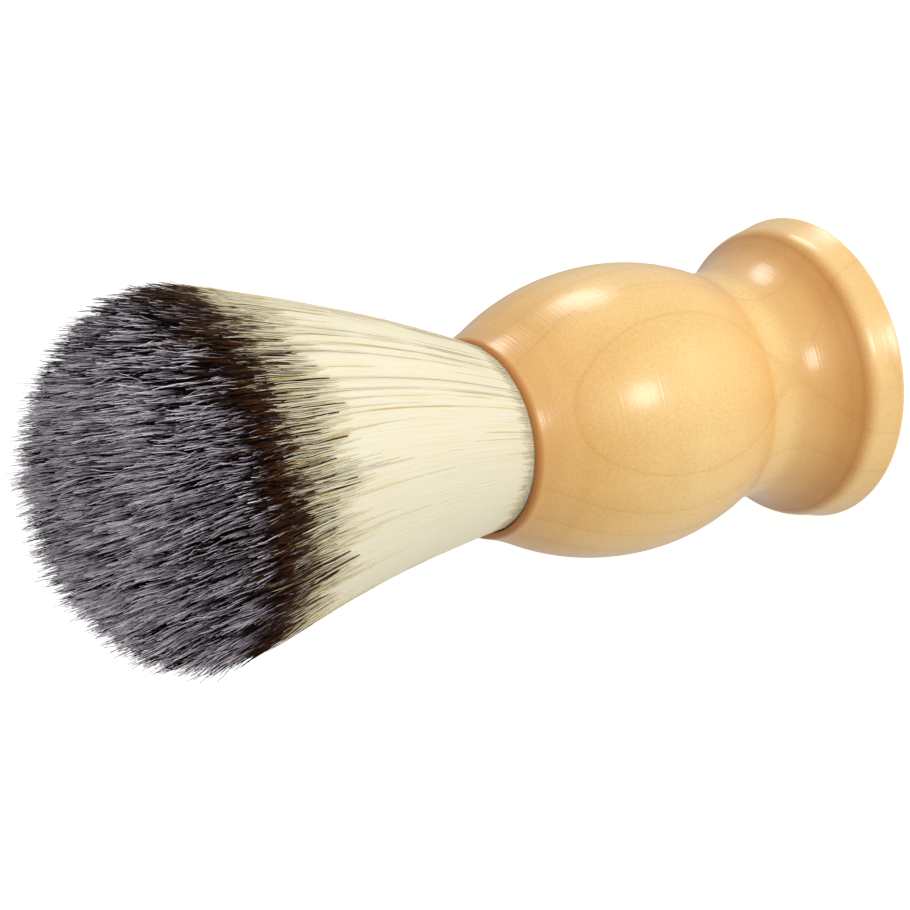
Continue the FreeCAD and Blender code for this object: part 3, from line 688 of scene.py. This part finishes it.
def dyed_filament():
    """Drawn polyester filament, dyed in the knot: cream with straw streaks, a ragged dark
    brown band, and silvery tips, painted paler towards the dome's top as painted light. The satin gloss is
    that of smooth drawn fibre."""
    material, tree, shader = new_material("drawn_polyester_filament_dyed", {
        "Roughness": 0.4, "IOR": 1.5, "Specular IOR Level": 0.1})
    chart = add_node(tree, "ShaderNodeUVMap", {"uv_map": "OFBake"}).outputs[0]
    chart = add_node(tree, "ShaderNodeSeparateXYZ", inputs={0: chart}).outputs
    column = add_node(tree, "ShaderNodeMath", "MULTIPLY", {0: chart[0], 1: float(columns)}).outputs[0]
    column = add_node(tree, "ShaderNodeMath", "FLOOR", {0: column}).outputs[0]
    height = add_node(tree, "ShaderNodeMapRange", inputs={
        "Value": chart[1], "From Min": 0.01, "From Max": 0.99,
        "To Min": root_height, "To Max": root_height + chart_height}).outputs[0]
    in_classes = add_node(tree, "ShaderNodeMath", "DIVIDE", {0: column, 1: float(tones)}).outputs[0]
    tone = add_node(tree, "ShaderNodeMath", "FRACT", {0: in_classes}).outputs[0]
    chance = add_node(tree, "ShaderNodeTexWhiteNoise", {"noise_dimensions": "1D"}, {"W": column})
    chances = add_node(tree, "ShaderNodeSeparateColor", inputs={0: chance.outputs["Color"]}).outputs

    # cream, with streaks of straw colour some 8 mm long
    streak_place = add_node(tree, "ShaderNodeCombineXYZ", inputs={0: column, 2: height}).outputs[0]
    streak_place = add_node(tree, "ShaderNodeMapping", inputs={
        "Vector": streak_place, "Scale": (7.3, 1.0, 1 / (8 * MM))}).outputs[0]
    streak = add_node(tree, "ShaderNodeTexNoise", inputs={
        "Vector": streak_place, "Scale": 1.0, "Detail": 0}).outputs["Fac"]
    streak = add_node(tree, "ShaderNodeMapRange", inputs={
        "Value": streak, "From Min": 0.25, "From Max": 0.8}).outputs[0]
    streak = add_node(tree, "ShaderNodeValToRGB", inputs={"Fac": streak})
    set_ramp(streak.color_ramp, CREAM)

    # the dye starts at its own height on every column: ragged by locks, a few long spikes reach
    # lower and a few filaments stay cream for longer
    spike, ragged, late, band_chance = [
        add_node(tree, "ShaderNodeMath", "POWER", {0: chance, 1: power}).outputs[0]
        for chance, power in ((chances[1], 6.0), (tone, 2.0), (chances[2], 4.0), (chances[1], 1.3))]
    dye_start = add_node(tree, "ShaderNodeMapRange", inputs={
        "Value": spike, "To Min": dye_height, "To Max": dye_height - 10.0 * MM}).outputs[0]
    for chance, reach in ((ragged, -6.0 * MM), (chances[0], -1.5 * MM), (late, 5.5 * MM)):
        dye_start = add_node(tree, "ShaderNodeMath", "MULTIPLY_ADD", {
            0: chance, 1: reach, 2: dye_start}).outputs[0]
    past_start = add_node(tree, "ShaderNodeMath", "SUBTRACT", {0: height, 1: dye_start}).outputs[0]
    dyed = add_node(tree, "ShaderNodeMapRange", {"interpolation_type": "SMOOTHSTEP"}, {
        "Value": past_start, "From Min": -dye_bleed_below, "From Max": dye_bleed_above}).outputs[0]
    dye = add_node(tree, "ShaderNodeMapRange", inputs={
        "Value": past_start, "From Min": 0.0, "From Max": dye_length}).outputs[0]
    dye = add_node(tree, "ShaderNodeValToRGB", inputs={"Fac": dye})
    set_ramp(dye.color_ramp, DYE)

    # some filaments have silver tips, 4 to 11 mm long, that stop short of the dark band's foot
    tip_class = add_node(tree, "ShaderNodeMath", "FLOOR", {0: in_classes}).outputs[0]
    tip_class = add_node(tree, "ShaderNodeMath", "ADD", {0: tip_class, 1: 0.5}).outputs[0]
    tip = add_node(tree, "ShaderNodeMapRange", inputs={
        "Value": tip_class, "From Max": float(tip_classes),
        "To Min": lowest_tip, "To Max": knot_top}).outputs[0]
    to_tip = add_node(tree, "ShaderNodeMath", "SUBTRACT", {0: tip, 1: height}).outputs[0]
    silver_length = add_node(tree, "ShaderNodeMapRange", inputs={
        "Value": chances[0], "To Min": 4.0 * MM, "To Max": 11.0 * MM}).outputs[0]
    into_silver = add_node(tree, "ShaderNodeMath", "SUBTRACT", {
        0: silver_length, 1: to_tip}).outputs[0]
    silvered = add_node(tree, "ShaderNodeMapRange", {"interpolation_type": "SMOOTHSTEP"}, {
        "Value": into_silver, "From Min": -0.5 * MM, "From Max": 2.0 * MM}).outputs[0]
    band_length = add_node(tree, "ShaderNodeMapRange", inputs={
        "Value": band_chance, "To Min": 1.2 * MM, "To Max": 9.0 * MM}).outputs[0]
    over_band = add_node(tree, "ShaderNodeMath", "SUBTRACT", {
        0: past_start, 1: band_length}).outputs[0]
    over_band = add_node(tree, "ShaderNodeMapRange", {"interpolation_type": "SMOOTHSTEP"}, {
        "Value": over_band, "From Min": 0.0, "From Max": 1.5 * MM}).outputs[0]
    is_pale = add_node(tree, "ShaderNodeMath", "MULTIPLY_ADD", {
        0: tip_class, 1: 0.3 / tip_classes, 2: chances[2]}).outputs[0]
    is_pale = add_node(tree, "ShaderNodeMapRange", {"interpolation_type": "SMOOTHSTEP"}, {
        "Value": is_pale, "From Min": 0.6, "From Max": 0.65}).outputs[0]
    for limit in (over_band, is_pale):
        silvered = add_node(tree, "ShaderNodeMath", "MULTIPLY", {0: silvered, 1: limit}).outputs[0]
    # the silver is paler on tips that end high on the dome and duller on those that end low: painted light
    # from above; its tone also differs at random by lock
    dullness_and_painted_shade = add_node(tree, "ShaderNodeMapRange", inputs={
        "Value": tip_class, "From Max": float(tip_classes), "To Min": 0.4, "To Max": -0.1}).outputs[0]
    dullness_and_painted_shade = add_node(tree, "ShaderNodeMath", "MULTIPLY_ADD", {
        0: tone, 1: 0.8, 2: dullness_and_painted_shade}).outputs[0]
    silver = add_node(tree, "ShaderNodeValToRGB", inputs={"Fac": dullness_and_painted_shade})
    set_ramp(silver.color_ramp, [(0.0, "#FFFBFF"), (0.4, "#F4EBF5"), (0.7, "#C8BCC8"), (1.0, "#75686F")])

    colour = add_node(tree, "ShaderNodeMix", {"data_type": "RGBA"}, {
        0: dyed, 6: streak.outputs[0], 7: dye.outputs[0]}).outputs[2]
    colour = add_node(tree, "ShaderNodeMix", {"data_type": "RGBA"}, {
        0: silvered, 6: colour, 7: silver.outputs[0]}).outputs[2]
    tree.links.new(colour, shader.inputs["Base Color"])
    return material


filament_material = dyed_filament()
knot = knot_tree()
knot_inputs = {item.name: item.identifier for item in knot.interface.items_tree
               if item.in_out == "INPUT"}
outer_ring = {"Filaments": 10800, "Bundles": 6, "Inner Share": 0.84, "Outer Share": 1.0,
              "Shown Length": 100.0 * MM, "Segments": 16}
inner_ring = {"Filaments": 10500, "Bundles": 3, "Inner Share": 0.0, "Outer Share": 0.86,
              "Shown Length": 22.0 * MM, "Segments": 8}
bundle_number = 0
for ring in (outer_ring, inner_ring):
    for bundle in range(ring["Bundles"]):
        bundle_number += 1
        name = f"knot_bundle_{bundle_number}"
        grower = bpy.data.objects.new(name + "_grower", bpy.data.meshes.new(name + "_grower"))
        bpy.context.scene.collection.objects.link(grower)
        modifier = grower.modifiers.new("grow", "NODES")
        modifier.node_group = knot
        for input_name, value in ring.items():
            modifier[knot_inputs[input_name]] = value
        modifier[knot_inputs["Bundle"]] = bundle
        modifier[knot_inputs["Seed"]] = 7 + 100 * (ring is inner_ring)
        modifier[knot_inputs["Material"]] = filament_material
        evaluated = grower.evaluated_get(bpy.context.evaluated_depsgraph_get())
        grown = bpy.data.meshes.new_from_object(evaluated)
        grower.modifiers.remove(modifier)
        bpy.data.objects.remove(grower)
        grown.name = name
        for carried_name in ("root", "end", "lock", "start", "tip", "column", "askew", "crimp", "sway",
                             "height", "around"):
            if carried_name in grown.attributes:
                grown.attributes.remove(grown.attributes[carried_name])
        piece = bpy.data.objects.new(name, grown)
        bpy.context.scene.collection.objects.link(piece)
        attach(piece, "root")
        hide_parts("bristles")


def packed_filaments():
    """The same filament packed side by side: fine upright ridges, cream below and dyed above."""
    material, tree, shader = new_material("polyester_filament_packed", {
        "Roughness": 0.6, "Specular IOR Level": 0.15})
    chart = add_node(tree, "ShaderNodeUVMap", {"uv_map": "packed"}).outputs[0]
    ridge_place = add_node(tree, "ShaderNodeMapping", inputs={
        "Vector": chart, "Scale": (420.0, 5.0, 1.0)}).outputs[0]
    ridges = add_node(tree, "ShaderNodeTexNoise", {"noise_dimensions": "2D"}, {
        "Vector": ridge_place, "Scale": 1.0, "Detail": 1}).outputs["Fac"]
    streak = add_node(tree, "ShaderNodeMapRange", inputs={
        "Value": ridges, "From Min": 0.3, "From Max": 1.0}).outputs[0]
    streak = add_node(tree, "ShaderNodeValToRGB", inputs={"Fac": streak})
    set_ramp(streak.color_ramp, CREAM)
    place = add_node(tree, "ShaderNodeTexCoord").outputs["Object"]
    height = add_node(tree, "ShaderNodeSeparateXYZ", inputs={0: place}).outputs["Z"]
    past_start = add_node(tree, "ShaderNodeMath", "MULTIPLY_ADD", {
        0: ridges, 1: 6.0 * MM, 2: height}).outputs[0]
    start = dye_height - 1.0 * MM
    dye = add_node(tree, "ShaderNodeMapRange", inputs={
        "Value": past_start, "From Min": start, "From Max": start + dye_length}).outputs[0]
    dyed = add_node(tree, "ShaderNodeMapRange", inputs={
        "Value": past_start, "From Min": start - dye_bleed_below,
        "From Max": start + dye_bleed_above}).outputs[0]
    dye = add_node(tree, "ShaderNodeValToRGB", inputs={"Fac": dye})
    set_ramp(dye.color_ramp, DYE)
    colour = add_node(tree, "ShaderNodeMix", {"data_type": "RGBA"}, {
        0: dyed, 6: streak.outputs[0], 7: dye.outputs[0]}).outputs[2]
    tree.links.new(colour, shader.inputs["Base Color"])
    bump = add_node(tree, "ShaderNodeBump", inputs={
        "Height": ridges, "Strength": 0.5, "Distance": 0.1 * MM})
    tree.links.new(bump.outputs[0], shader.inputs["Normal"])
    return material


def heart_outline():
    """Half of the section of the knot's packed middle.

    Low down it stands just proud of the outer filaments, so that only the loose ones show, and
    higher up it sinks under them.
    """
    foot_inset = 0.7 * MM
    outline = [Vector((0, slice_top)), Vector((root_radius - foot_inset, slice_top))]
    # how deep it lies below the filaments' own surface, in mm
    for height, depth in ((thread_top, -0.4), (spread_height, 0.12), (mouth_height + 2.5 * MM, -0.06),
                          (mouth_height + 14 * MM, -0.14), (mouth_height + 22 * MM, -0.18),
                          (mouth_height + 29 * MM, -0.14), (mouth_height + 33 * MM, 0.2),
                          (mouth_height + 36 * MM, 1.5)):
        spread = root_radius
        if height >= spread_height:
            rise = (height - spread_height) / (belly_height - spread_height)
            spread = spread_radius + (belly_radius - spread_radius) * rise
        outline.append(Vector((spread - depth * MM, height)))
    shoulder = outline[-1]
    crown_depth = 9.5 * MM
    crown_swell = 0.16
    crown_rise = knot_top - crown_depth - shoulder.y
    crown_steps = 12
    for step in range(1, crown_steps + 1):
        turn = step / crown_steps * math.pi / 2
        swell = 1 + crown_swell * math.sin(2 * turn)
        outline.append(Vector((shoulder.x * math.cos(turn) * swell,
                               shoulder.y + crown_rise * math.sin(turn))))
    outline[-1].x = 0
    return outline


heart = turned_mesh("knot_heart", heart_outline(), 120)
chart = heart.data.uv_layers.new(name="packed")
chart_rise = 60 * MM
for polygon in heart.data.polygons:
    corners = [heart.data.vertices[heart.data.loops[loop].vertex_index].co for loop in polygon.loop_indices]
    middle = sum(corners, Vector()) / len(corners)
    middle_turn = math.atan2(middle.y, middle.x)
    for loop, corner in zip(polygon.loop_indices, corners):
        turn = math.atan2(corner.y, corner.x) if corner.xy.length > 1e-6 else middle_turn
        turn = middle_turn + (turn - middle_turn + math.pi) % (2 * math.pi) - math.pi
        chart.data[loop].uv = (turn / (2 * math.pi), corner.z / chart_rise)
for vertex in heart.data.vertices:
    left = min(max((lean_height - vertex.co.z) / (lean_height - thread_top), 0), 1)
    vertex.co.x += lean * (1 - left**2)
heart.data.materials.append(packed_filaments())
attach(heart, "root")
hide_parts("bristles")

slice_outline = [Vector((slice_radius * share, slice_floor)) for share in (0, 0.5, 1)]
slice_outline += [Vector((slice_radius * share, slice_top)) for share in (1, 0.5, 0)]
root_slice = turned_mesh("root_slice", slice_outline, 96)
root_slice.data.materials.append(resin)
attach(root_slice, "root")
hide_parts("bristles")


# ------------------------------------------------------------------ floor, light and camera
# The brush stands on a plain white floor in soft studio light. The camera is rolled, so the
# upright brush lies across the view with its foot to the right and its knot to the left.

def white_sweep():
    """Matt white board: a barely mottled white that glows a little, as a lit sweep does."""
    material, tree, shader = new_material("white_board_matt", {
        "Roughness": 0.9, "Specular IOR Level": 0.1,
        "Emission Color": (1, 1, 1, 1), "Emission Strength": 0.65})
    place = add_node(tree, "ShaderNodeTexCoord").outputs["Object"]
    mottle = add_node(tree, "ShaderNodeTexNoise", inputs={"Vector": place, "Scale": 40.0})
    tone = add_node(tree, "ShaderNodeValToRGB", inputs={"Fac": mottle.outputs["Fac"]})
    set_ramp(tone.color_ramp, [(0.0, "#EBEBEB"), (1.0, "#F0F0F0")])
    tree.links.new(tone.outputs[0], shader.inputs["Base Color"])
    return material


floor_half = 3.0
floor_mesh = bpy.data.meshes.new("floor")
floor_mesh.from_pydata([(-floor_half, -floor_half, 0), (floor_half, -floor_half, 0),
                        (floor_half, floor_half, 0), (-floor_half, floor_half, 0)], [], [(0, 1, 2, 3)])
floor = bpy.data.objects.new("floor", floor_mesh)
floor.data.materials.append(white_sweep())
floor.location.z = -0.02 * MM
floor.visible_glossy = False
floor.visible_shadow = False
bpy.context.scene.collection.objects.link(floor)

world = bpy.data.worlds.new("white_studio")
world.use_nodes = True
world.node_tree.nodes["Background"].inputs["Color"].default_value = (1.0, 1.0, 1.0, 1.0)
world.node_tree.nodes["Background"].inputs["Strength"].default_value = 0.48
bpy.context.scene.world = world


def softbox(name, towards, distance, width, height, power):
    """A rounded soft light in a direction from the brush's middle, facing the brush."""
    lamp = bpy.data.lights.new(name, "AREA")
    lamp.shape = "ELLIPSE"
    lamp.size = width
    lamp.size_y = height
    lamp.energy = power
    light = bpy.data.objects.new(name, lamp)
    middle = Vector((0, 0, 0.04))
    direction = Vector(towards).normalized()
    light.location = middle + direction * distance
    light.rotation_euler = direction.to_track_quat("Z", "Y").to_euler()
    bpy.context.scene.collection.objects.link(light)
    return light


# two lights only give the gloss its highlights, and two only light the body
for name, towards, distance, width, height, power, unused_ray in (
        ("side_softbox", (0.93, 0.10, -0.35), 0.7, 0.26, 0.20, 0.9, "visible_diffuse"),
        ("front_softbox", (0.088, -0.971, -0.24), 0.7, 0.22, 0.16, 1.2, "visible_diffuse"),
        ("key_softbox", (0.32, -0.9, 0.0), 0.9, 1.0, 1.0, 4.3, "visible_glossy"),
        ("top_softbox", (0.35, -0.3, 0.85), 0.9, 0.5, 0.5, 1.2, "visible_glossy")):
    setattr(softbox(name, towards, distance, width, height, power), unused_ray, False)

camera_place = Vector((0, -528.71, 459.66)) * MM
camera_target = Vector((-1.190, 0, 52.436)) * MM
camera_roll = math.radians(-102.659)
camera_data = bpy.data.cameras.new("camera")
camera_data.sensor_width = 36.0
camera_data.lens = 237.5
camera_data.clip_start = 0.01
camera_data.clip_end = 20.0
camera = bpy.data.objects.new("camera", camera_data)
forward = (camera_target - camera_place).normalized()
level_right = forward.cross(Vector((0, 0, 1))).normalized()
level_up = level_right.cross(forward)
right = level_right * math.cos(camera_roll) + level_up * math.sin(camera_roll)
up = level_up * math.cos(camera_roll) - level_right * math.sin(camera_roll)
turned = Matrix((right, up, -forward)).transposed().to_4x4()
camera.matrix_world = Matrix.Translation(camera_place) @ turned
bpy.context.scene.collection.objects.link(camera)
bpy.context.scene.camera = camera
bpy.context.scene.view_settings.view_transform = "Standard"
